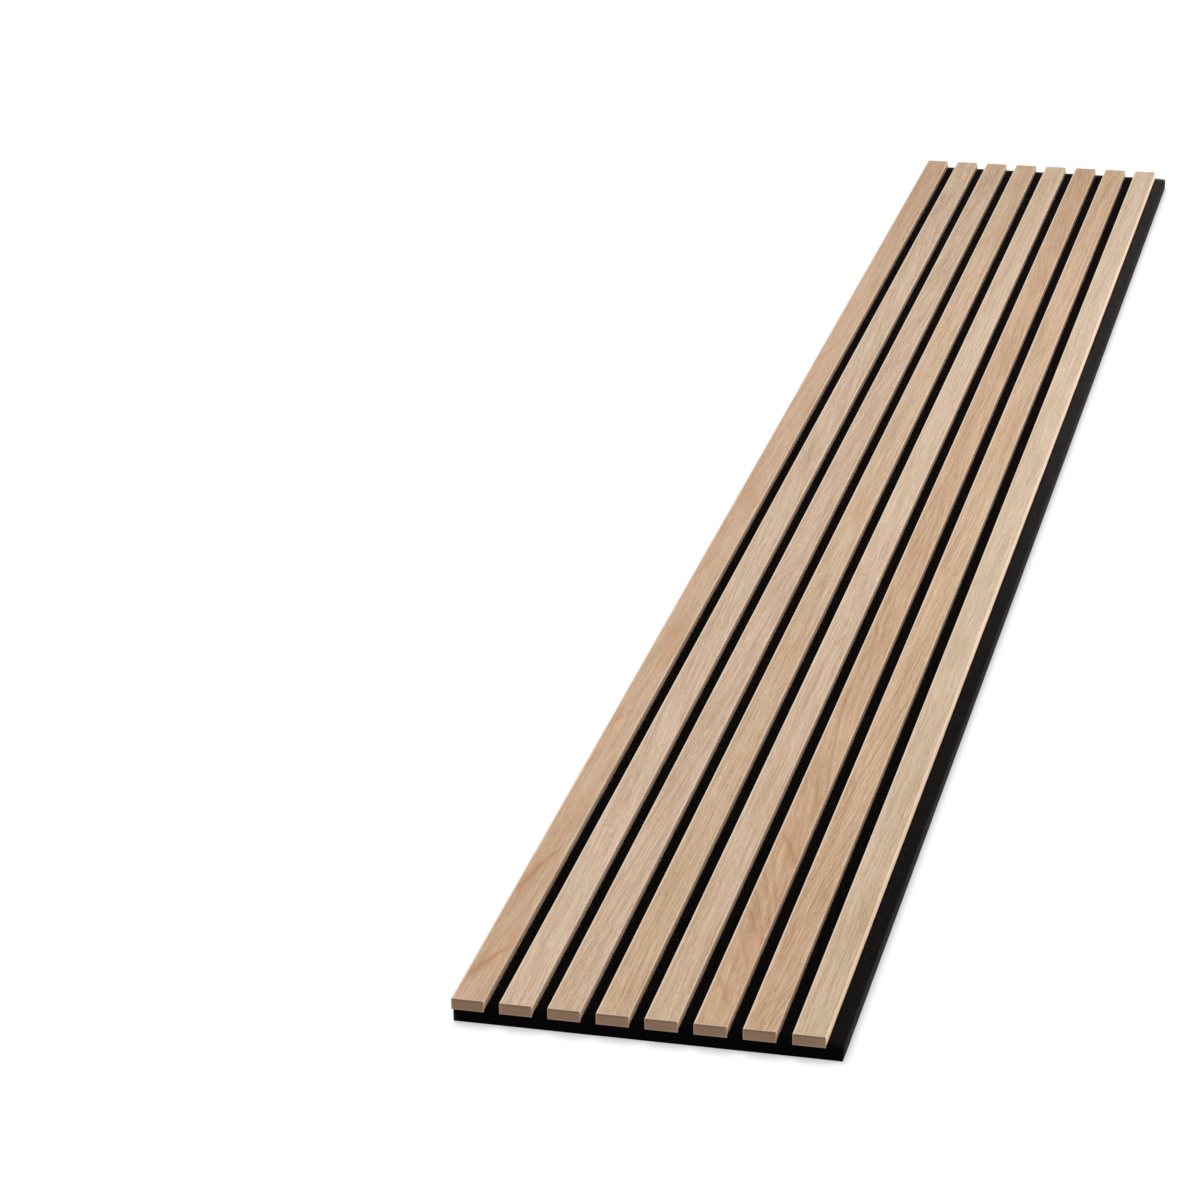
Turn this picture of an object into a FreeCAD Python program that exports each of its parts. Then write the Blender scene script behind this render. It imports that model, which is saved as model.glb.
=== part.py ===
import FreeCAD, Part
import math
import os

# Acoustic slat wall panel: veneered slats, glued and stapled to a felt backing.
# Millimetres. X runs across the slats, Y along them and Z out of the wall.
# The origin is the middle of the panel's back.

# Panel
panel_length = 2400.0
slat_count = 8

# Slats: a fibreboard core with oak veneer wrapped over its face and both sides
slat_width = 27.0
slat_gap = 13.0
slat_thickness = 10.0
veneer_thickness = 0.6
core_edge_radius = 0.3

# Felt: slat 1 overhangs its left edge and hides the seam there,
# and its right edge stands out as a lip that the next panel's slat 1 covers
felt_thickness = 11.0
slat_overhang = 1.0

# Staples, driven into each slat through the felt, their crowns along the slat
staple_rows = 9
staple_end_margin = 60.0
staple_width = 12.8
wire_width = 0.95
wire_thickness = 0.65
wire_bend_radius = 0.4
point_length = 0.8
crown_recess = 0.4
wood_over_points = 4.0

# Worked out from the sizes above
slat_pitch = slat_width + slat_gap
felt_width = slat_count * slat_pitch
panel_width = slat_overhang + felt_width
left_side = -panel_width / 2
near_end = -panel_length / 2
slat_face = felt_thickness + slat_thickness
core_face = slat_face - veneer_thickness
staple_points = core_face - wood_over_points


def rounded_face(corners, place):
    """A flat face inside corners (u, v, radius); place(u, v) is the point in space."""
    edges = []
    joins = []
    for i, (u, v, radius) in enumerate(corners):
        before = corners[i - 1]
        after = corners[(i + 1) % len(corners)]
        to_before = FreeCAD.Vector(before[0] - u, before[1] - v, 0).normalize()
        to_after = FreeCAD.Vector(after[0] - u, after[1] - v, 0).normalize()
        half_angle = to_before.getAngle(to_after) / 2
        corner = FreeCAD.Vector(u, v, 0)
        reach = radius / math.tan(half_angle)
        start = corner + to_before * reach
        end = corner + to_after * reach
        inward = (to_before + to_after).normalize()
        middle = corner + inward * (radius / math.sin(half_angle) - radius)
        joins.append((start, end))
        if radius > 0:
            arc = [place(p.x, p.y) for p in (start, middle, end)]
            edges.append(Part.Arc(*arc).toShape())
    for i, (_, end) in enumerate(joins):
        start = joins[(i + 1) % len(joins)][0]
        edges.append(Part.makeLine(place(end.x, end.y), place(start.x, start.y)))
    return Part.Face(Part.Wire(Part.sortEdges(edges)[0]))


def slat_middle(index):
    """The X of a slat's centre line, counted from 0 at the left."""
    return left_side + index * slat_pitch + slat_width / 2


def slat_bar(index, width, face, edge_radius):
    """A full-length bar on the felt, with its two upper edges rounded."""
    low_x = slat_middle(index) - width / 2
    high_x = slat_middle(index) + width / 2
    corners = [
        (low_x, felt_thickness, 0),
        (low_x, face, edge_radius),
        (high_x, face, edge_radius),
        (high_x, felt_thickness, 0),
    ]
    section = rounded_face(corners, lambda x, z: FreeCAD.Vector(x, near_end, z))
    return section.extrude(FreeCAD.Vector(0, panel_length, 0))


def core_bar(index):
    """A slat's fibreboard core, before the staples go in."""
    return slat_bar(index, slat_width - 2 * veneer_thickness, core_face, core_edge_radius)


def slat_veneer(index):
    """The veneer: a thin channel over the core's face and both sides."""
    outside = slat_bar(index, slat_width, slat_face, core_edge_radius + veneer_thickness)
    return outside.cut(core_bar(index))


def staple_places(index):
    """The centre of each staple under one slat."""
    spacing = (panel_length - 2 * staple_end_margin) / (staple_rows - 1)
    first = near_end + staple_end_margin
    return [(slat_middle(index), first + row * spacing) for row in range(staple_rows)]


def staple(x, y):
    """One wire staple, crown down, with a chisel point on each leg."""
    outer = staple_width / 2
    inner = outer - wire_thickness
    crown_inside = crown_recess + wire_thickness
    point_start = staple_points - point_length
    corners = [
        (-outer, staple_points, 0),
        (-outer, crown_recess, wire_bend_radius + wire_thickness),
        (outer, crown_recess, wire_bend_radius + wire_thickness),
        (outer, staple_points, 0),
        (inner, point_start, 0),
        (inner, crown_inside, wire_bend_radius),
        (-inner, crown_inside, wire_bend_radius),
        (-inner, point_start, 0),
    ]
    side = x - wire_width / 2
    profile = rounded_face(corners, lambda along, z: FreeCAD.Vector(side, y + along, z))
    return profile.extrude(FreeCAD.Vector(wire_width, 0, 0))


def staple_slit(x, y):
    """The felt that a staple takes up, with the slit that its sunk crown leaves open."""
    half_length = staple_width / 2 - wire_bend_radius - wire_thickness
    mouth = Part.makeBox(
        wire_width,
        2 * half_length,
        crown_recess,
        FreeCAD.Vector(x - wire_width / 2, y - half_length, 0),
    )
    return staple(x, y).fuse(mouth)


def felt_backing(places):
    """The felt slab, slit where each staple passes."""
    felt_left = left_side + slat_overhang
    slab = Part.makeBox(
        felt_width,
        panel_length,
        felt_thickness,
        FreeCAD.Vector(felt_left, near_end, 0),
    )
    return slab.cut([staple_slit(x, y) for x, y in places])


def slat_core(index):
    """A slat's core, with the staples' legs let into its back."""
    return core_bar(index).cut([staple(x, y) for x, y in staple_places(index)])


def build_nodes():
    """Every piece of the panel, by name."""
    places = [place for index in range(slat_count) for place in staple_places(index)]
    nodes = {"felt_backing": felt_backing(places)}
    for index in range(slat_count):
        nodes[f"slat_core_{index + 1}"] = slat_core(index)
        nodes[f"slat_veneer_{index + 1}"] = slat_veneer(index)
    nodes["back_staples"] = Part.makeCompound([staple(x, y) for x, y in places])
    return nodes


os.makedirs("parts", exist_ok=True)
for name, shape in build_nodes().items():
    shape.exportStep(f"parts/{name}.step")
    volume = sum(solid.Volume for solid in shape.Solids)
    print(f"{name}: {len(shape.Solids)} solid(s), {volume / 1000:.1f} cm3, valid {shape.isValid()}")
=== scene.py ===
import math

import bpy
from mathutils import Matrix, Vector, noise


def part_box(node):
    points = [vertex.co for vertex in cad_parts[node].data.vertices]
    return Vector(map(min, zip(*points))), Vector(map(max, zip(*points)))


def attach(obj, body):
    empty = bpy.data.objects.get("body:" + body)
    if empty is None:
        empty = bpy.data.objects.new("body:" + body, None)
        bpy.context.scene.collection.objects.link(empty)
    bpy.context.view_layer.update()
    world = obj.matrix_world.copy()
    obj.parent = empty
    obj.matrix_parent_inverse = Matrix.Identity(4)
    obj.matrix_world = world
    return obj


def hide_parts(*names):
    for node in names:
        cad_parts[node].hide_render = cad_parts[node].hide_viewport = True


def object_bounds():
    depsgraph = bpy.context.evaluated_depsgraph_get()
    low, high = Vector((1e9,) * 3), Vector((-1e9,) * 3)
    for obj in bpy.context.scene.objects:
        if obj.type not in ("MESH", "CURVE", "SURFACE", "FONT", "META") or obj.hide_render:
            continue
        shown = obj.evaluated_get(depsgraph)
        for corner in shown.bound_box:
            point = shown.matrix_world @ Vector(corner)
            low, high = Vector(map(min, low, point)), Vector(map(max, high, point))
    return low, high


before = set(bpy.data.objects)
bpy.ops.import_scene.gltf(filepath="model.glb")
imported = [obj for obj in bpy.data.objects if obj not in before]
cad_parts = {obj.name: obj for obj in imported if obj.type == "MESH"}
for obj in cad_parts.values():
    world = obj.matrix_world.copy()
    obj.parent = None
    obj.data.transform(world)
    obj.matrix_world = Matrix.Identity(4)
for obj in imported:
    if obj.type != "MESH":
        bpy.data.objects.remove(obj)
cad_low, cad_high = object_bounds()

# The panel lies on its back: X across the slats, Y along them, Z out of the felt.
# Places are in metres, and lengths in the materials and in the felt's mesh in millimetres.
MM = 0.001
TO_MM = 1000.0
ROOT = "root"

SLAT_COUNT = sum(name.startswith("slat_veneer_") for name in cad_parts)
PANEL_TOP = cad_high.z * TO_MM
PANEL_HALF_LENGTH = cad_high.y * TO_MM


def slat_span(number):
    """A slat's left and right side, in millimetres."""
    low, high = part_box(f"slat_veneer_{number}")
    return low.x * TO_MM, high.x * TO_MM


SLAT_SPANS = [slat_span(number) for number in range(1, SLAT_COUNT + 1)]
SLAT_MIDDLES = [(left + right) / 2 for left, right in SLAT_SPANS]
SLAT_HALF = (SLAT_SPANS[0][1] - SLAT_SPANS[0][0]) / 2
SLAT_PITCH = SLAT_SPANS[1][0] - SLAT_SPANS[0][0]


def linear(red, green, blue):
    """A colour given as sRGB 0 to 255, in the linear values that shaders take."""
    def channel(value):
        value /= 255
        return value / 12.92 if value <= 0.04045 else ((value + 0.055) / 1.055) ** 2.4
    return (channel(red), channel(green), channel(blue), 1.0)


# Camera: the photograph's own perspective, in the panel's frame
CAMERA_PLACE = (0.632, -3.855, 1.538)
CAMERA_HEADING = 14.02  # degrees from +Y towards -X
CAMERA_DIP = 22.93
CAMERA_ROLL = 1.0
FOCAL_PIXELS = 3896
PHOTO_PIXELS = 1200
SENSOR = 36.0


def make_camera():
    data = bpy.data.cameras.new("camera")
    data.sensor_width = SENSOR
    data.lens = FOCAL_PIXELS / PHOTO_PIXELS * SENSOR
    data.clip_start = 0.1
    data.clip_end = 100.0
    camera = bpy.data.objects.new("camera", data)
    turn = Matrix.Rotation(math.radians(CAMERA_HEADING), 4, "Z")
    tip = Matrix.Rotation(math.radians(90 - CAMERA_DIP), 4, "X")
    lean = Matrix.Rotation(math.radians(-CAMERA_ROLL), 4, "Z")
    camera.matrix_world = Matrix.Translation(CAMERA_PLACE) @ turn @ tip @ lean
    bpy.context.scene.collection.objects.link(camera)
    bpy.context.scene.camera = camera


make_camera()


class Shading:
    """One material's node tree, with short calls for the nodes that it needs."""

    def __init__(self, name):
        self.material = bpy.data.materials.new(name)
        self.material.use_nodes = True
        self.tree = self.material.node_tree
        self.shader = self.tree.nodes["Principled BSDF"]

    def feed(self, socket, value):
        if isinstance(value, bpy.types.NodeSocket):
            self.tree.links.new(value, socket)
        else:
            socket.default_value = value

    def math(self, operation, *values):
        made = self.tree.nodes.new("ShaderNodeMath")
        made.operation = operation
        for socket, value in zip(made.inputs, values):
            self.feed(socket, value)
        return made.outputs[0]

    def add(self, *values):
        total = values[0]
        for value in values[1:]:
            total = self.math("ADD", total, value)
        return total

    def less(self, first, second):
        return self.math("SUBTRACT", first, second)

    def times(self, *values):
        total = values[0]
        for value in values[1:]:
            total = self.math("MULTIPLY", total, value)
        return total

    def vector(self, x, y, z):
        made = self.tree.nodes.new("ShaderNodeCombineXYZ")
        for socket, value in zip(made.inputs, (x, y, z)):
            self.feed(socket, value)
        return made.outputs[0]

    def noise(self, vector, detail=2.0, roughness=0.5):
        """Noise from 0 to 1 whose cell is one unit of the vector."""
        made = self.tree.nodes.new("ShaderNodeTexNoise")
        self.feed(made.inputs["Vector"], vector)
        made.inputs["Scale"].default_value = 1.0
        made.inputs["Detail"].default_value = detail
        made.inputs["Roughness"].default_value = roughness
        return made.outputs["Fac"]

    def strands(self, across, along, kind, seed):
        """Noise from 0 to 1, drawn out along the slat."""
        cells_across, cells_along, layer, detail, roughness = kind
        where = self.vector(
            self.times(across, cells_across), self.times(along, cells_along), seed + layer)
        return self.noise(where, detail, roughness)

    def grain(self, across, along, kind, seed):
        """The same noise, about zero."""
        return self.less(self.strands(across, along, kind, seed), 0.5)

    def blotches(self, x, y, z, cells, detail=2.0, roughness=0.5):
        """Noise from 0 to 1, with so many cells per millimetre along X, Y and Z."""
        where = self.vector(*[self.times(part, size) for part, size in zip((x, y, z), cells)])
        return self.noise(where, detail, roughness)

    def ramp(self, value, low, high, to_low=0.0, to_high=1.0):
        """A smooth step from to_low to to_high as value goes from low to high."""
        made = self.tree.nodes.new("ShaderNodeMapRange")
        made.interpolation_type = "SMOOTHSTEP"
        for key, number in (("Value", value), ("From Min", low), ("From Max", high)):
            self.feed(made.inputs[key], number)
        made.inputs["To Min"].default_value = to_low
        made.inputs["To Max"].default_value = to_high
        return made.outputs["Result"]

    def mix(self, share, first, second, blend="MIX"):
        made = self.tree.nodes.new("ShaderNodeMix")
        made.data_type = "RGBA"
        made.blend_type = blend
        colour_inputs = [socket for socket in made.inputs if socket.type == "RGBA"]
        self.feed(made.inputs["Factor"], share)
        self.feed(colour_inputs[0], first)
        self.feed(colour_inputs[1], second)
        return next(socket for socket in made.outputs if socket.type == "RGBA")

    def shade(self, colour, tone, tinge=(1.0, 1.0, 1.0)):
        """A colour times a tone of about 1, which tells more or less on each channel."""
        change = self.less(tone, 1.0)
        parts = [self.math("MULTIPLY_ADD", change, share, 1.0) for share in tinge]
        return self.mix(1.0, colour, self.vector(*parts), "MULTIPLY")

    def tint(self, share, colour, tint):
        """A colour taken part of the way to itself times a tint."""
        return self.mix(share, colour, self.mix(1.0, colour, tint, "MULTIPLY"))

    def split(self, vector):
        made = self.tree.nodes.new("ShaderNodeSeparateXYZ")
        self.tree.links.new(vector, made.inputs[0])
        return made.outputs

    def place(self):
        """The point's X, Y and Z in millimetres."""
        where = self.tree.nodes.new("ShaderNodeTexCoord").outputs["Object"]
        return [self.times(socket, TO_MM) for socket in self.split(where)]

    def facing(self):
        """The X, Y and Z parts of the surface's own normal."""
        return self.split(self.tree.nodes.new("ShaderNodeTexCoord").outputs["Normal"])

    def bump(self, height, depth, strength=1.0):
        """Relief from a height between 0 and 1, depth millimetres deep."""
        made = self.tree.nodes.new("ShaderNodeBump")
        made.inputs["Strength"].default_value = strength
        made.inputs["Distance"].default_value = depth * MM
        self.feed(made.inputs["Height"], height)
        self.feed(self.shader.inputs["Normal"], made.outputs["Normal"])

    def finish(self, colour, roughness, **constants):
        self.feed(self.shader.inputs["Base Color"], colour)
        self.feed(self.shader.inputs["Roughness"], roughness)
        for key, value in constants.items():
            self.shader.inputs[key.replace("_", " ")].default_value = value
        return self.material


# How each slat's veneer was cut. Lengths are in millimetres and tints are sRGB.
# tint and warm: the sheet's colour and that of its darker patches.
# shade: painted shade, how much darker its near end and its far end are than its middle.
# heart: the log's centre line, from the slat's middle; lean: how far that line runs to
# the right per metre; depth: how far under the face it is; swing, crest and wave: how much
# deeper it gets, where along the panel (metres from its middle) and over what length.
# spacing: the growth rings' thickness. rings, fibres, patches, sway: how strong each is;
# the shade over the right edge: painted shade, how much darker the sheet is where it bends
# over that edge.
# streaks: mineral streaks, from (across, along) to (across, along), their half width and
# their strength; across is from the slat's left side, and along from the near end.
LOOKS = [
    dict(tint=(203, 171, 140), warm=(197, 151, 111), shade=(-0.01, 0.17), patches=0.60,
         heart=-24, lean=4, depth=60, swing=40, crest=-1.6, wave=4.4, spacing=6.5,
         rings=0.30, fibres=0.16, right_edge_shade=0.14, sway=3.0,
         streaks=[((4, 40), (26, 99), 3.8, 0.70), ((3, 182), (21, 286), 3.0, 0.80),
                  ((5, 28), (17, 84), 7.0, 0.42),
                  ((6, 545), (20, 582), 3.0, 0.45), ((2, 440), (10, 492), 2.6, 0.35),
                  ((9, 915), (14, 985), 4.0, 0.35), ((4, 1560), (18, 1650), 3.0, 0.35)]),
    dict(tint=(205, 178, 150), warm=(201, 167, 135), shade=(-0.07, 0.15), patches=0.40,
         heart=110, lean=-42, depth=30, swing=6, crest=0.4, wave=2.2, spacing=2.6,
         rings=0.28, fibres=0.23, right_edge_shade=0.14, sway=1.6, streaks=[]),
    dict(tint=(203, 175, 146), warm=(199, 163, 133), shade=(-0.03, 0.15), patches=0.45,
         heart=-100, lean=34, depth=40, swing=6, crest=0.0, wave=2.0, spacing=3.0,
         rings=0.30, fibres=0.25, right_edge_shade=0.14, sway=2.0,
         streaks=[((8, 200), (23, 560), 1.4, 0.28), ((4, 300), (18, 640), 1.2, 0.20)]),
    dict(tint=(207, 177, 145), warm=(203, 162, 126), shade=(0.08, 0.16), patches=0.45,
         heart=-110, lean=3, depth=25, swing=3, crest=0.3, wave=1.4, spacing=2.2,
         rings=0.34, fibres=0.23, right_edge_shade=0.14, sway=1.8, streaks=[]),
    dict(tint=(212, 186, 158), warm=(206, 171, 139), shade=(0.12, 0.14), patches=0.40,
         heart=80, lean=-9, depth=60, swing=8, crest=-0.2, wave=2.4, spacing=4.4,
         rings=0.20, fibres=0.20, right_edge_shade=0.14, sway=3.0,
         streaks=[((15, 757), (20, 786), 3.0, 0.40)]),
    dict(tint=(205, 170, 136), warm=(198, 151, 116), shade=(0.08, 0.19), patches=0.45,
         heart=-87, lean=-55, depth=74, swing=50, crest=-0.6, wave=3.4, spacing=3.2,
         rings=0.42, fibres=0.20, right_edge_shade=0.14, sway=3.0,
         streaks=[((19, 30), (5, 82), 3.2, 0.48), ((23, 98), (9, 144), 3.0, 0.32),
                  ((18, 152), (2, 206), 4.0, 0.55), ((25, 212), (10, 262), 3.2, 0.36),
                  ((26, 280), (4, 350), 4.4, 0.60), ((26, 380), (10, 470), 3.4, 0.34),
                  ((4, 700), (17, 800), 2.2, 0.34), ((3, 765), (21, 880), 2.2, 0.38),
                  ((2, 830), (18, 940), 2.0, 0.30), ((3, 1075), (18, 1330), 1.5, 0.36),
                  ((7, 1100), (24, 1400), 1.3, 0.30)]),
    dict(tint=(210, 178, 145), warm=(202, 159, 122), shade=(0.13, 0.16), patches=0.45,
         heart=60, lean=20, depth=60, swing=26, crest=-0.3, wave=3.0, spacing=1.9,
         rings=0.44, fibres=0.23, right_edge_shade=0.14, sway=2.4,
         streaks=[((5, 14), (20, 62), 6.0, 0.35), ((2, 380), (21, 720), 1.4, 0.40),
                  ((6, 370), (25, 660), 1.2, 0.32)]),
    dict(tint=(214, 190, 162), warm=(206, 176, 143), shade=(0.15, 0.1), patches=0.35,
         heart=-90, lean=8, depth=45, swing=8, crest=0.1, wave=1.8, spacing=4.2,
         rings=0.19, fibres=0.19, right_edge_shade=0.0, sway=3.0, streaks=[]),
]
PORE = linear(146, 112, 84)
LATE_WOOD = linear(164, 122, 88)
MINERAL = linear(152, 102, 66)
RUST = linear(204, 146, 98)
CUT_END = linear(172, 143, 118)
# painted highlight along the left edge and the ends of each slat's face
PAINTED_EDGE_HIGHLIGHT = linear(238, 214, 190)
# painted sheen on the slats' sides
PAINTED_SIDE_SHEEN = linear(218, 202, 186)
PAINTED_SIDE_SHADE = (1.0, 0.93, 0.86, 1.0)  # painted shade: the sides get darker and warmer towards the felt
BLUSH = (1.03, 0.965, 0.98, 1.0)
BROWNING = (0.82, 1.05, 1.40)  # a darker fibre is browner too
END_ARRIS = 1.6  # how far the painted highlight reaches in from a slat's ends, and from its left edge
LEFT_ARRIS = 2.24
# width of the painted shade over a slat's right edge
RIGHT_EDGE_SHADE_WIDTH = 1.4
SEED_STEP = 37.0

# Noises drawn out along the wood: cells per millimetre across it and along it, a layer that
# keeps one noise apart from the next, detail and roughness
SLOW_BEND = (0.010, 0.0040, 0, 2.0, 0.5)
QUICK_BEND = (0.05, 0.016, 1, 2.0, 0.5)
PATCH = (0.050, 0.0075, 2, 3.0, 0.6)
FIBRE = (0.50, 0.0085, 3, 3.0, 0.62)
PINK_PATCH = (0.035, 0.0110, 4, 2.0, 0.6)
FLECK = (0.85, 0.040, 5, 2.0, 0.6)
SILK = (0.13, 0.0035, 7, 2.0, 0.5)
DASH = (3.4, 0.14, 9, 1.0, 0.5)
TICK = (1.10, 0.11, 11, 2.0, 0.6)
STREAK_WOBBLE = (0.12, 0.045, 0, 2.0, 0.5)

# How much each kind of grain tells in the tone, for fibres of 1
FIBRE_TONE = 4.5
FLECK_TONE = 2.8
TICK_TONE = 2.4
SILK_TONE = 2.0


def streak(s, sheet, y, start, end, half_width):
    """A mineral streak's dark core and the stain about it, each from 0 to 1.

    The streak follows an uneven line that bends as it crosses the sheet and gets thinner.
    """
    (first_across, first_along), (last_across, last_along) = start, end
    length = last_along - first_along
    from_start = s.less(y, first_along - PANEL_HALF_LENGTH)
    share = s.math("MAXIMUM", s.times(from_start, 1 / length), 0.0)
    crossed = s.times(s.math("POWER", share, 1.4), last_across - first_across)
    wobble = s.times(s.grain(sheet, y, STREAK_WOBBLE, first_along), 6.0)
    line = s.add(first_across - SLAT_HALF, crossed, wobble)
    width = s.math("MULTIPLY_ADD", share, -0.7 * half_width, 1.3 * half_width)
    off_line = s.math("DIVIDE", s.math("ABSOLUTE", s.less(sheet, line)), width)
    ends = s.times(s.ramp(share, 0.0, 0.25), s.ramp(share, 0.75, 1.1, 1.0, 0.0))
    core = s.times(s.ramp(off_line, 0.0, 1.0, 1.0, 0.0), ends)
    stain = s.times(s.ramp(off_line, 0.0, 2.4, 1.0, 0.0), ends)
    return core, stain


def growth_rings(s, off_heart, metres, look, seed):
    """The late wood and the early wood of each ring, 0 to 1, where the sheet cuts them."""
    phase = s.times(s.less(metres, look["crest"]), 2 * math.pi / look["wave"])
    under = s.math("MULTIPLY_ADD", s.math("COSINE", phase), look["swing"], look["depth"])
    radius = s.math("SQRT", s.add(s.times(off_heart, off_heart), s.times(under, under)))
    uneven = s.noise(s.vector(s.times(radius, 0.11), seed, s.times(metres, 0.8)), 1.0)
    turn = s.add(s.times(radius, 1 / look["spacing"]), s.times(uneven, 2.4))
    ring = s.math("FRACT", turn)
    accent = s.noise(s.vector(s.times(turn, 0.55), seed, s.times(metres, 2.2)), 1.0)
    late = s.times(s.ramp(ring, 0.25, 0.80), s.ramp(ring, 0.88, 1.0, 1.0, 0.0))
    late = s.times(late, s.ramp(accent, 0.34, 0.66, 0.15, 1.0))
    return late, s.ramp(ring, 0.05, 0.45, 1.0, 0.0)


def wood_figure(s, sheet, y, look, seed):
    """The sheet's colour with its patches, streaks, rings, fibre and pores.

    Returns the colour, and the fibre and the pores for the surface's relief.
    """
    metres = s.times(y, MM)

    # how far each point is from the heart line, which wanders under the sheet
    slow = s.times(s.grain(sheet, y, SLOW_BEND, seed), look["sway"] * 4)
    quick = s.times(s.grain(sheet, y, QUICK_BEND, seed), look["sway"] * 0.6)
    straight = s.less(sheet, s.times(metres, look["lean"]))
    off_heart = s.less(s.add(straight, slow, quick), look["heart"])
    late, early = growth_rings(s, off_heart, metres, look, seed)

    # fibre: long streaks, shorter flecks and ticks, and the pores as fine dark dashes
    fibre = s.grain(off_heart, y, FIBRE, seed)
    fleck = s.grain(off_heart, y, FLECK, seed)
    tick = s.grain(off_heart, y, TICK, seed)
    silk = s.grain(off_heart, y, SILK, seed)
    dash = s.strands(off_heart, y, DASH, seed)
    pores = s.times(s.ramp(dash, 0.54, 0.68), s.add(0.25, s.times(early, 0.75)))

    # colour: warm patches and pinker ones, then streaks, rings, fibre and pores
    warmth = s.times(s.ramp(s.strands(sheet, y, PATCH, seed), 0.44, 0.70), look["patches"])
    colour = s.mix(warmth, linear(*look["tint"]), linear(*look["warm"]))
    pinkness = s.ramp(s.strands(sheet, y, PINK_PATCH, seed), 0.46, 0.72, 0.0, 0.5)
    colour = s.tint(pinkness, colour, BLUSH)
    broken = s.add(0.8, fleck, fleck, tick)
    for start, end, half_width, strength in look["streaks"]:
        core, stain = streak(s, sheet, y, start, end, half_width)
        colour = s.mix(s.times(stain, strength ** 2 * 0.8), colour, RUST)
        colour = s.mix(s.times(core, broken, strength * 0.7), colour, MINERAL)
    colour = s.mix(s.times(late, look["rings"]), colour, LATE_WOOD)
    # painted shade: each face darker towards its near end and its far end
    near_shade, far_shade = look["shade"]
    tone = s.add(
        s.ramp(metres, -1.2, 0.1, 1.0 - near_shade, 1.0),
        s.ramp(metres, 0.55, 1.2, 0.0, -far_shade),
        s.times(fibre, look["fibres"] * FIBRE_TONE),
        s.times(fleck, look["fibres"] * FLECK_TONE),
        s.times(tick, look["fibres"] * TICK_TONE),
        s.times(silk, look["fibres"] * SILK_TONE),
    )
    colour = s.shade(colour, tone, BROWNING)
    return s.mix(s.times(pores, 0.42), colour, PORE), fibre, pores


def sheet_edges(s, colour, across, y, drop, right_edge_shade):
    """The colour at a slat's edges: a painted highlight along the left edge and the face's
    ends, painted shade over the right edge, painted sheen and painted shade on the sides, and
    the sawn ends.
    """
    # painted highlight: the face is paler along its left edge and near its ends, fading out
    # down the sides
    left = s.ramp(across, LEFT_ARRIS - SLAT_HALF, 0.5 - SLAT_HALF)
    ends = s.ramp(s.math("ABSOLUTE", y), PANEL_HALF_LENGTH - END_ARRIS, PANEL_HALF_LENGTH,
                  0.0, 0.45)
    edge_highlight = s.times(s.math("MAXIMUM", left, ends), s.ramp(drop, 0.3, 2.2, 1.0, 0.0))
    colour = s.mix(edge_highlight, colour, PAINTED_EDGE_HIGHLIGHT)

    # painted shade: the sheet over the right edge is darker, down to where the side starts
    right = s.ramp(across, SLAT_HALF - RIGHT_EDGE_SHADE_WIDTH, SLAT_HALF - 0.3, 0.0, right_edge_shade)
    kept = s.less(1.0, s.times(right, s.ramp(drop, 0.4, 1.6, 1.0, 0.0)))
    colour = s.mix(1.0, colour, s.vector(kept, kept, kept), "MULTIPLY")

    towards_x, towards_y, _ = s.facing()
    # painted sheen: the sides are paler and greyer
    side = s.ramp(s.math("ABSOLUTE", towards_x), 0.5, 0.9, 0.0, 0.4)
    colour = s.mix(side, colour, PAINTED_SIDE_SHEEN)
    # painted shade: darker and warmer down the sides, towards the felt
    colour = s.tint(s.ramp(drop, 2.0, 8.0), colour, PAINTED_SIDE_SHADE)
    sawn = s.ramp(s.math("ABSOLUTE", towards_y), 0.6, 0.9)
    return s.mix(sawn, colour, CUT_END)


def oak_veneer(number, look):
    """Oak veneer wrapped over one slat: growth rings cut through, pores and fibre."""
    s = Shading(f"oak_veneer_{number}")
    x, y, z = s.place()
    across = s.less(x, SLAT_MIDDLES[number - 1])
    drop = s.less(PANEL_TOP, z)
    # the sheet laid flat: it carries on from the face down both sides
    sheet = s.add(across, s.times(s.math("SIGN", across), drop))
    colour, fibre, pores = wood_figure(s, sheet, y, look, number * SEED_STEP)
    colour = sheet_edges(s, colour, across, y, drop, look["right_edge_shade"])
    roughness = s.add(0.52, s.times(pores, 0.2), s.times(fibre, 0.15))
    s.bump(s.less(s.times(fibre, 0.5), pores), 0.06, 0.6)
    return s.finish(colour, roughness, Specular_IOR_Level=0.28)


FIBREBOARD = linear(136, 108, 88)
FIBREBOARD_PALE = linear(166, 136, 112)
FIBREBOARD_DENSE = linear(112, 86, 68)
FIBREBOARD_PALE_RIM = linear(190, 168, 148)


def fibreboard(top, bottom):
    """Sawn fibreboard: matted short fibres, dense under the face and paler towards its lower
    face.
    """
    s = Shading("fibreboard")
    x, y, z = s.place()
    speck = s.blotches(x, y, z, (3.2, 3.2, 4.5), 4.0, 0.7)
    chips = s.blotches(x, y, z, (0.8, 0.8, 2.6), 3.0, 0.6)
    batch = s.blotches(x, y, 2.0, (0.03, 0.03, 1.0), 1.0)
    colour = s.mix(s.ramp(chips, 0.35, 0.70), FIBREBOARD, FIBREBOARD_PALE)
    colour = s.mix(s.ramp(z, top - 2.5, top, 0.0, 0.6), colour, FIBREBOARD_DENSE)
    colour = s.mix(s.ramp(z, bottom + 0.3, bottom + 1.5, 0.35, 0.0), colour, FIBREBOARD_PALE_RIM)
    tone = s.add(0.52, s.times(speck, 0.60), s.times(batch, 0.28))
    s.bump(speck, 0.15, 0.8)
    return s.finish(s.shade(colour, tone), 0.9, Specular_IOR_Level=0.15)


FELT = linear(3, 3, 3)
FELT_PALE = linear(30, 29, 30)
# painted sheen on the felt's long cut sides
FELT_SIDE_SHEEN = linear(17, 16, 17)
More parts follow.
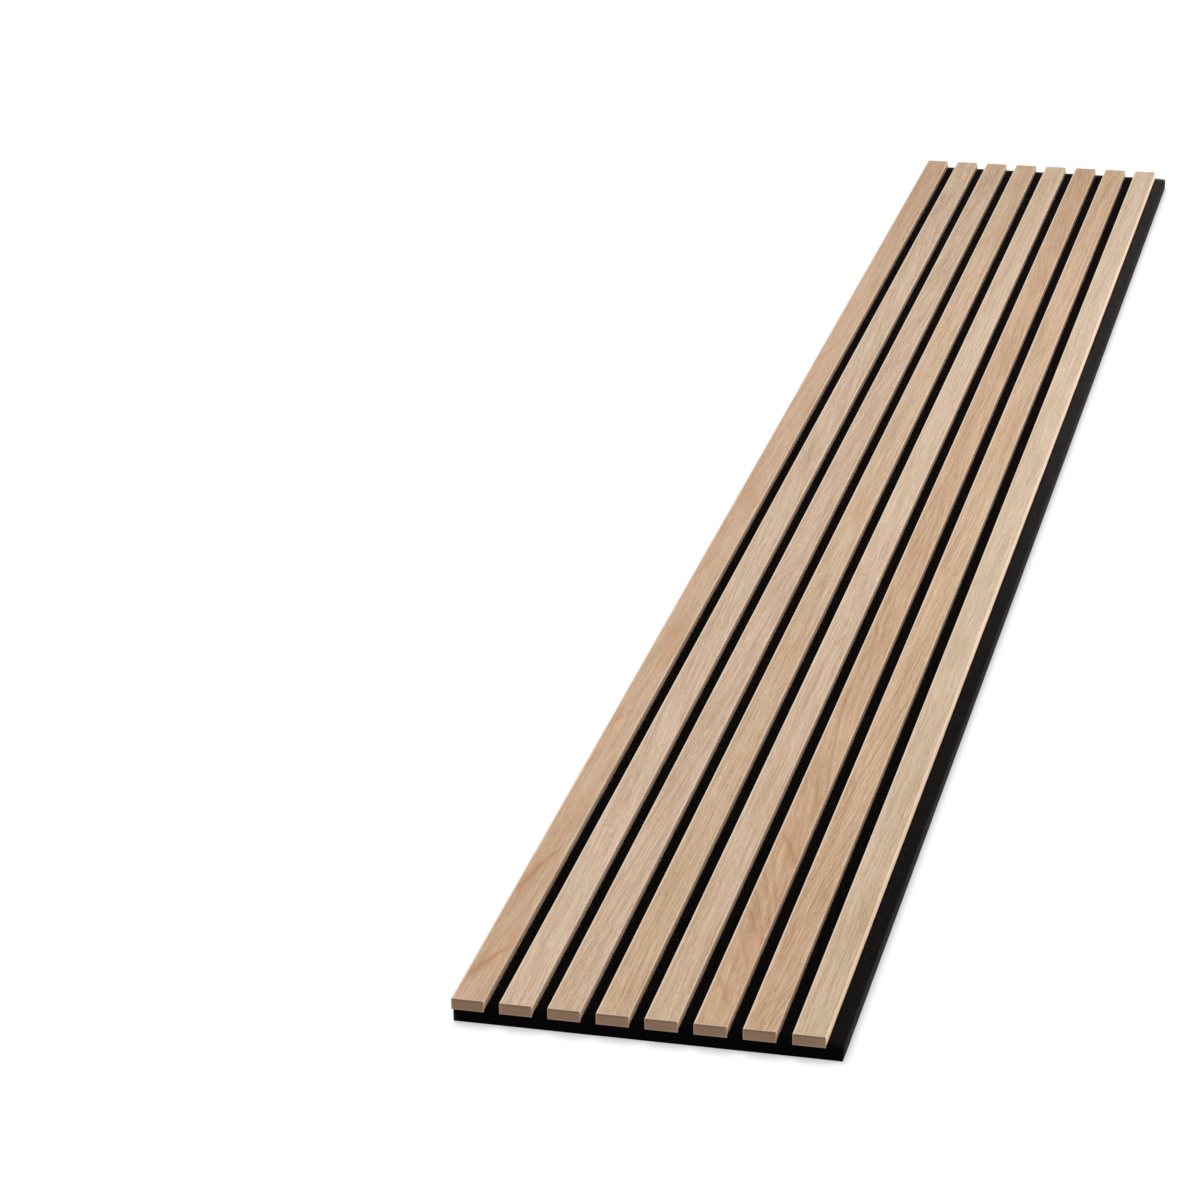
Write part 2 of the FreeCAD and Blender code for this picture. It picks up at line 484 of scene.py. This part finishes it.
# painted light on the lip beside the last slat, and painted sheen towards its far end
FELT_LIP_LIT = linear(13, 12, 12)
FELT_LIP_FAR_SHEEN = linear(31, 30, 31)
FELT_LIP_LIGHT_START = 1.5  # how far from the last slat the lip's painted light comes in
FELT_LIP_SHEEN_RAMP = (-600.0, 300.0)  # where along the panel the lip's painted sheen makes it paler
FELT_SHEEN = (1.0, 0.8, 0.78, 1.0)


def felt():
    """Needled polyester felt: matted fibres that cross in every direction."""
    s = Shading("black_felt")
    x, y, z = s.place()
    bend = s.times(s.blotches(x, y, z, (0.5, 0.5, 1.0), 1.0), 5.0)
    bent_x = s.add(x, bend)
    bent_y = s.less(y, bend)
    along = s.blotches(bent_x, bent_y, z, (3.5, 0.7, 2.5))
    across = s.blotches(bent_x, bent_y, z, (0.7, 3.5, 2.5))
    fuzz = s.math("MAXIMUM", along, across)
    cloud = s.blotches(x, y, z, (0.05, 0.05, 0.2), 3.0, 0.6)
    lint = s.blotches(x, y, z, (0.35, 0.35, 0.35), 3.0, 0.7)
    # painted light: the lip beside the last slat is lighter than the felt between the slats,
    # and a painted sheen makes it paler towards the far end,
    # but its cut ends are as dark as the rest
    last_side = SLAT_SPANS[-1][1]
    lip_light = s.mix(s.ramp(y, *FELT_LIP_SHEEN_RAMP), FELT_LIP_LIT, FELT_LIP_FAR_SHEEN)
    lip_light_share = s.ramp(x, last_side, last_side + FELT_LIP_LIGHT_START)
    on_end = s.ramp(s.math("ABSOLUTE", s.facing()[1]), 0.3, 0.8)
    colour = s.mix(s.times(lip_light_share, s.less(1.0, on_end)), FELT, lip_light)
    # painted sheen: the long cut sides are paler, in one tone from end to end
    cut = s.ramp(s.math("ABSOLUTE", s.facing()[0]), 0.75, 0.95)
    colour = s.mix(s.times(cut, 0.8), colour, FELT_SIDE_SHEEN)
    colour = s.mix(s.ramp(fuzz, 0.54, 0.78, 0.0, 0.5), colour, FELT_PALE)
    tone = s.add(0.45, s.times(cloud, 0.6), s.times(lint, 0.5))
    s.bump(s.add(fuzz, s.times(cloud, 2.0)), 0.35, 0.9)
    return s.finish(s.shade(colour, tone), 1.0, Specular_IOR_Level=0.03,
                    Sheen_Weight=0.25, Sheen_Roughness=0.15, Sheen_Tint=FELT_SHEEN)


ZINC = linear(196, 197, 198)
ZINC_DULL = linear(160, 161, 163)


def staple_wire():
    """Galvanised wire, drawn along its length."""
    s = Shading("staple_wire")
    x, y, z = s.place()
    drawn = s.blotches(x, y, z, (14.0, 0.8, 14.0), 3.0, 0.6)
    dull = s.blotches(x, y, z, (0.6, 0.6, 0.6))
    s.bump(drawn, 0.02, 0.5)
    roughness = s.add(0.28, s.times(drawn, 0.25))
    return s.finish(s.mix(dull, ZINC, ZINC_DULL), roughness, Metallic=1.0)


# The felt's mesh, which stands for the plain slab: softened edges, a slight swell
# between the slats, and a dimple where each staple pulls the back in
EDGE_ROUNDING = 1.0
EDGE_SLACK = 0.25  # how far in the edge may lie, over slow waves and at short tufts
EDGE_WAVE = 40
EDGE_TUFT = 9
EDGE_TUFT_SLACK = 0.1
FREE_RISE = 2.0  # the slats press the felt, which stands higher where it is free
FREE_RISE_START = 0.3
FREE_RISE_WAVE = 35
FREE_RISE_VARIES = 0.2
GROOVE_SWELL = 0.15
GROOVE_WAVE = 25
LIP_SLUMP = 1.1
LIP_SLUMP_START = 5.0
LIP_WAVE = 30
LIP_SLUMP_VARIES = 0.15
DIMPLE_DEPTH = 0.85
DIMPLE_SPREAD = 1.5
DIMPLE_END = 0.6  # how far within the staple's end its dimple starts to close
DIMPLE_END_SLOPE = 1.6
ROW_STEP = 11.0
GROOVE_STEP = 2.2
STAPLE_ROW_GAP = 30  # more than a staple's length and less than the rows' spacing
STAPLE_COLUMNS = (-4.0, -2.0, -1.0, -0.4, 0.4, 1.0, 2.0, 4.0)
STAPLE_ROWS_AT = (-9.0, -7.6, -6.9, -6.2, -5.0, -2.5, 0.0, 2.5, 5.0, 6.2, 6.9, 7.6, 9.0)


def staple_rows():
    """The Y of each row of staples and half a staple's length, read off the wire's mesh."""
    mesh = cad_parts["back_staples"].data
    places = sorted({round(vertex.co.y * TO_MM, 2) for vertex in mesh.vertices})
    rows = [[places[0]]]
    for place in places[1:]:
        if place - rows[-1][-1] > STAPLE_ROW_GAP:
            rows.append([])
        rows[-1].append(place)
    return [(row[0] + row[-1]) / 2 for row in rows], (rows[0][-1] - rows[0][0]) / 2


def spread(low, high, step):
    """Even places from low to high, at most step apart."""
    count = max(1, math.ceil((high - low) / step))
    return [low + (high - low) * i / count for i in range(count + 1)]


def rough(x, y, size, layer):
    """A smooth random number between about -1 and 1, which changes over size millimetres."""
    return noise.noise(Vector((x / size, y / size, layer)))


def felt_columns(left, right):
    """The X of each line of points along the panel."""
    places = {left, right}
    for (low, high), middle in zip(SLAT_SPANS, SLAT_MIDDLES):
        places.update(middle + offset for offset in STAPLE_COLUMNS)
        next_low = min(low + SLAT_PITCH, right)
        places.update((max(low, left), high))
        places.update(spread(high + FREE_RISE_START, next_low - FREE_RISE_START, GROOVE_STEP))
    return sorted(places)


def felt_rows(near, far, rows):
    """The Y of each line of points across the panel."""
    stops = [near]
    for row in rows:
        stops.extend(row + offset for offset in STAPLE_ROWS_AT)
    stops.append(far)
    places = set()
    for low, high in zip(stops, stops[1:]):
        places.update(spread(low, high, ROW_STEP))
    return sorted(places)


def top_height(x, y, plain):
    """The felt's upper surface: pressed flat under each slat, free between them."""
    off_slat = (x - SLAT_SPANS[0][0]) % SLAT_PITCH - 2 * SLAT_HALF
    gap = SLAT_PITCH - 2 * SLAT_HALF
    if off_slat <= 0:
        return plain
    free = FREE_RISE * (1.0 + FREE_RISE_VARIES * rough(x, y, FREE_RISE_WAVE, 1.0))
    if x > SLAT_SPANS[-1][1]:
        away = max(off_slat - LIP_SLUMP_START, 0.0) / (gap - LIP_SLUMP_START)
        uneven = 1.0 + LIP_SLUMP_VARIES * rough(x, y, LIP_WAVE, 3.0)
        slump = LIP_SLUMP * away ** 1.5 * uneven
        return plain + min(off_slat / FREE_RISE_START, 1.0) * free - slump
    from_side = min(off_slat, gap - off_slat)
    arch = math.sin(math.pi * off_slat / gap)
    swell = GROOVE_SWELL * arch * rough(x, y, GROOVE_WAVE, 2.0)
    return plain + min(from_side / FREE_RISE_START, 1.0) * free + swell


def bottom_height(x, y, rows, half_staple):
    """The felt's back, with a dimple along each staple's crown."""
    off_row = min(abs(y - row) for row in rows)
    off_slat = min(abs(x - middle) for middle in SLAT_MIDDLES)
    past_end = max(off_row - half_staple + DIMPLE_END, 0.0)
    reach = math.hypot(off_slat, past_end * DIMPLE_END_SLOPE)
    return DIMPLE_DEPTH * math.exp(-(reach / DIMPLE_SPREAD) ** 2)


def grid_faces(wide, long):
    """The faces of the upper surface and of the back, whose points follow on."""
    bottom = wide * long
    faces = []
    for j in range(long - 1):
        for i in range(wide - 1):
            a = j * wide + i
            b = bottom + a
            faces.append((a, a + 1, a + wide + 1, a + wide))
            faces.append((b, b + wide, b + wide + 1, b + 1))
    return faces


def grid_rim(wide, long):
    """The outermost points of the upper surface, all round."""
    rim = list(range(wide))
    rim += [j * wide + wide - 1 for j in range(1, long)]
    rim += [(long - 1) * wide + i for i in range(wide - 2, -1, -1)]
    rim += [j * wide for j in range(long - 2, 0, -1)]
    return rim


def edge_profile(thickness):
    """The edge from above to below: how far in from the felt's side, and how far down."""
    half_round = EDGE_ROUNDING * (1 - math.sqrt(0.5))
    return [
        (half_round, -half_round),
        (0.0, -EDGE_ROUNDING),
        (0.0, -thickness / 2),
        (0.0, EDGE_ROUNDING - thickness),
        (half_round, half_round - thickness),
    ]


def edge_slack(x, y, step):
    """How far the edge lies in from the slab's side, at one step of the profile."""
    slow = EDGE_SLACK * (0.5 + 0.5 * rough(x, y, EDGE_WAVE, 5.0 + 0.35 * step))
    return slow + EDGE_TUFT_SLACK * (1 + rough(x, y, EDGE_TUFT, 9.0 + step)) / 2


def band(upper, lower):
    """The faces between two closed rows of points."""
    count = len(upper)
    faces = []
    for k in range(count):
        after = (k + 1) % count
        faces.append((upper[k], lower[k], lower[after], upper[after]))
    return faces


def felt_piece(material):
    box_low, box_high = (corner * TO_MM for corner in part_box("felt_backing"))
    rows, half_staple = staple_rows()
    columns = felt_columns(box_low.x + EDGE_ROUNDING, box_high.x - EDGE_ROUNDING)
    lines = felt_rows(box_low.y + EDGE_ROUNDING, box_high.y - EDGE_ROUNDING, rows)
    wide, long = len(columns), len(lines)
    places = [(x, y) for y in lines for x in columns]
    vertices = [(x, y, top_height(x, y, box_high.z)) for x, y in places]
    vertices += [(x, y, bottom_height(x, y, rows, half_staple)) for x, y in places]
    faces = grid_faces(wide, long)

    # the edge all round, from the upper surface over the rounding and down to the back
    rim = grid_rim(wide, long)
    above = rim
    for step, (inset, down) in enumerate(edge_profile(box_high.z - box_low.z)):
        ring = []
        for index in rim:
            x, y = places[index]
            out_x = (index % wide == wide - 1) - (index % wide == 0)
            out_y = (index // wide == long - 1) - (index // wide == 0)
            shift = EDGE_ROUNDING - inset - edge_slack(x, y, step)
            if out_x and out_y:
                shift *= math.sqrt(0.5)
            ring.append(len(vertices))
            vertices.append((x + out_x * shift, y + out_y * shift, box_high.z + down))
        faces += band(above, ring)
        above = ring
    faces += band(above, [wide * long + index for index in rim])

    mesh = bpy.data.meshes.new("felt_mat")
    mesh.from_pydata([Vector(v) * MM for v in vertices], [], faces)
    mesh.polygons.foreach_set("use_smooth", [True] * len(mesh.polygons))
    mesh.validate()
    mesh.materials.append(material)
    piece = bpy.data.objects.new("felt_mat", mesh)
    bpy.context.scene.collection.objects.link(piece)
    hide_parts("felt_backing")
    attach(piece, ROOT)
    return piece


def dress(node, material):
    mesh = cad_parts[node].data
    mesh.materials.clear()
    mesh.materials.append(material)


def dress_panel():
    """Gives every node its material, and returns the felt's own piece."""
    core_low, core_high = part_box("slat_core_1")
    board = fibreboard(core_high.z * TO_MM, core_low.z * TO_MM)
    for number in range(1, SLAT_COUNT + 1):
        dress(f"slat_veneer_{number}", oak_veneer(number, LOOKS[(number - 1) % len(LOOKS)]))
        dress(f"slat_core_{number}", board)
    dress("back_staples", staple_wire())
    material = felt()
    dress("felt_backing", material)
    return felt_piece(material)


felt_mat = dress_panel()

# Light: a pale dome, and a broad low softbox on the right, a little towards the far end.
# The softbox lights the panel alone and a high lamp the floor alone, so that the floor is
# even and its shadow short.
DOME = 0.87
KEY_LEVEL = 0.92
KEY_DISTANCE = 5.0
KEY_SIZE = (2.6, 1.2)
KEY_HEIGHT = 9.0  # degrees above the floor
KEY_HEADING = 14.0  # degrees from +X towards +Y
FLOOR_LAMP_LEVEL = 0.82
FLOOR_LAMP_SPREAD = 36.0
FLOOR_LAMP_HEIGHT = 66.0
FLOOR_LAMP_HEADING = 130.0

# Floor: part glow and part shade, so that it is white and still holds a shadow
FLOOR_REACH = 30.0
FLOOR_COLOUR = 0.42
FLOOR_GLOW = 0.41


def seen_directly(tree):
    """1 where a ray comes from the camera, a shiny surface or through glass, else 0."""
    path = tree.nodes.new("ShaderNodeLightPath")
    total = path.outputs["Is Camera Ray"]
    for kind in ("Is Glossy Ray", "Is Transmission Ray"):
        add = tree.nodes.new("ShaderNodeMath")
        add.operation = "MAXIMUM"
        tree.links.new(total, add.inputs[0])
        tree.links.new(path.outputs[kind], add.inputs[1])
        total = add.outputs[0]
    return total


def make_world():
    world = bpy.data.worlds.new("studio")
    world.use_nodes = True
    tree = world.node_tree
    background = tree.nodes["Background"]
    background.inputs["Color"].default_value = (1, 1, 1, 1)
    level = tree.nodes.new("ShaderNodeMapRange")
    level.inputs["To Min"].default_value = DOME
    level.inputs["To Max"].default_value = 1.0
    tree.links.new(seen_directly(tree), level.inputs["Value"])
    tree.links.new(level.outputs["Result"], background.inputs["Strength"])
    bpy.context.scene.world = world


def place_lamp(data, distance, height, heading, receivers):
    """Puts a lamp at an angle above the panel's middle, to light the receivers alone."""
    heading = math.radians(heading)
    height = math.radians(height)
    toward = Vector((
        math.cos(height) * math.cos(heading),
        math.cos(height) * math.sin(heading),
        math.sin(height),
    ))
    lamp = bpy.data.objects.new(data.name, data)
    lamp.location = toward * distance
    lamp.rotation_euler = toward.to_track_quat("Z", "Y").to_euler()
    lamp.visible_camera = False
    lamp.visible_glossy = False
    bpy.context.scene.collection.objects.link(lamp)
    lit = bpy.data.collections.new(f"lit_by_{data.name}")
    for receiver in receivers:
        lit.objects.link(receiver)
    lamp.light_linking.receiver_collection = lit


def make_softbox(receivers):
    """KEY_LEVEL is what it adds to a white surface that faces it."""
    data = bpy.data.lights.new("softbox", "AREA")
    data.shape = "RECTANGLE"
    data.size, data.size_y = KEY_SIZE
    data.energy = KEY_LEVEL * math.pi ** 2 * KEY_DISTANCE ** 2
    place_lamp(data, KEY_DISTANCE, KEY_HEIGHT, KEY_HEADING, receivers)


def make_floor_lamp(receivers):
    data = bpy.data.lights.new("floor_lamp", "SUN")
    data.angle = math.radians(FLOOR_LAMP_SPREAD)
    data.energy = FLOOR_LAMP_LEVEL * math.pi
    place_lamp(data, KEY_DISTANCE, FLOOR_LAMP_HEIGHT, FLOOR_LAMP_HEADING, receivers)


def make_floor():
    mesh = bpy.data.meshes.new("floor")
    corners = [(-1, -1), (1, -1), (1, 1), (-1, 1)]
    places = [(x * FLOOR_REACH, y * FLOOR_REACH, cad_low.z) for x, y in corners]
    mesh.from_pydata(places, [], [(0, 1, 2, 3)])
    floor = bpy.data.objects.new("floor", mesh)
    bpy.context.scene.collection.objects.link(floor)
    material = bpy.data.materials.new("floor")
    material.use_nodes = True
    tree = material.node_tree
    tree.nodes.remove(tree.nodes["Principled BSDF"])
    matte = tree.nodes.new("ShaderNodeBsdfDiffuse")
    matte.inputs["Color"].default_value = (FLOOR_COLOUR,) * 3 + (1.0,)
    glow = tree.nodes.new("ShaderNodeEmission")
    strength = tree.nodes.new("ShaderNodeMath")
    strength.operation = "MULTIPLY"
    strength.inputs[1].default_value = FLOOR_GLOW
    tree.links.new(seen_directly(tree), strength.inputs[0])
    tree.links.new(strength.outputs[0], glow.inputs["Strength"])
    both = tree.nodes.new("ShaderNodeAddShader")
    tree.links.new(matte.outputs[0], both.inputs[0])
    tree.links.new(glow.outputs[0], both.inputs[1])
    tree.links.new(both.outputs[0], tree.nodes["Material Output"].inputs["Surface"])
    mesh.materials.append(material)
    return floor


make_world()
floor = make_floor()
make_softbox([felt_mat, *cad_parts.values()])
make_floor_lamp([floor])
bpy.context.scene.view_settings.view_transform = "Standard"
